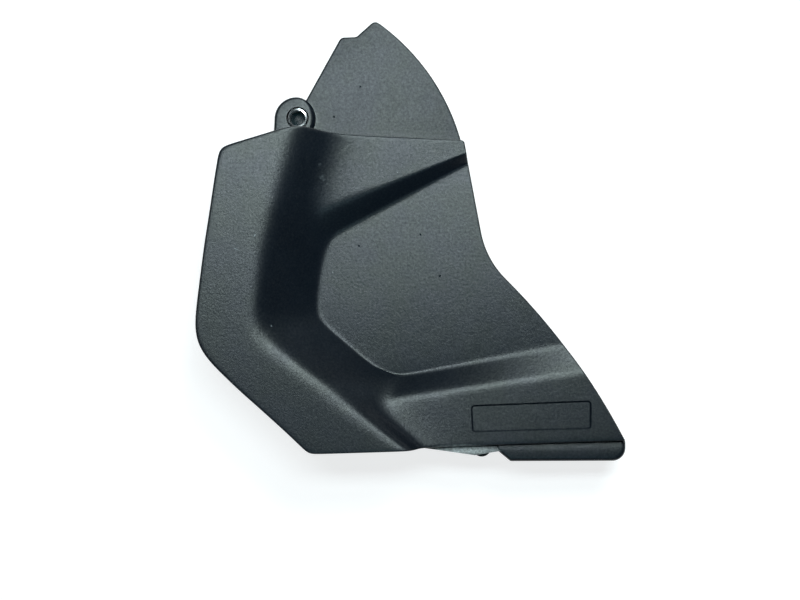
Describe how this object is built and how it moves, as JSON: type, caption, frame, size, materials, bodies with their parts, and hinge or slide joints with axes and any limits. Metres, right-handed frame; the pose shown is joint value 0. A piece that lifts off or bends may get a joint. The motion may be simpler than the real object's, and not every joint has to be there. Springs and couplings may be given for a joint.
{
  "type": "motorcycle sprocket cover",
  "caption": "Deep open-backed moulded cover for a motorcycle's front sprocket, with a raised C-shaped panel, a sunk centre panel, a thin chain guard wing and a steel-sleeved bolt ear.",
  "frame": {"origin": "middle of the part's footprint on its rear plane, where the rear rim lies", "axes": "+Z out of the outer face, +Y towards the wing and the bolt ear, +X towards the open side where the chain leaves"},
  "size_m": [0.18, 0.1868, 0.042],
  "materials": {
    "moulded_plastic": "fine grained, satin",
    "zinc_steel": "satin"
  },
  "bodies": {
    "root": {"cover_moulding": "moulded_plastic", "sleeve": "zinc_steel"}
  },
  "joints": []
}
